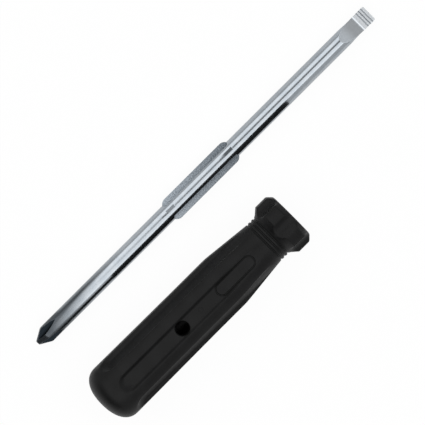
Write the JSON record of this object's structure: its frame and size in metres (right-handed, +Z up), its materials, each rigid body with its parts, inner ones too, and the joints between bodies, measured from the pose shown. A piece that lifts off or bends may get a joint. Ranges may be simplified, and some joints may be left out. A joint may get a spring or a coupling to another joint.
{
  "type": "reversible screwdriver",
  "caption": "Screwdriver with a fluted plastic handle and a loose double-ended blade, flat at one end and cross-shaped at the other, keyed into the socket by pressed wings.",
  "frame": {"origin": "on the table, under the middle of the box round the handle and the blade laid beside it", "axes": "+Y along both axes, from the butt of the handle to its nose and from the cross tip to the flat tip; +X from the blade to the handle; +Z up"},
  "size_m": [0.0558, 0.2, 0.0264],
  "materials": {
    "grip_plastic": "satin black moulded plastic with a fine grain",
    "bush_metal": "plain turned and broached steel",
    "spring_steel": "oiled spring steel",
    "blade_chrome": "polished chrome on the bar, blasted grey on the wings, blackened cross tip"
  },
  "bodies": {
    "handle": {"handle_grip": "grip_plastic", "socket_bush": "bush_metal", "retaining_ring": "spring_steel"},
    "blade": {"blade": "blade_chrome"}
  },
  "joints": [
    {"name": "blade_slide", "type": "slide", "parent": "handle", "child": "blade", "axis": [0, 1, 0], "range_m": [0, 0.1031]}
  ]
}
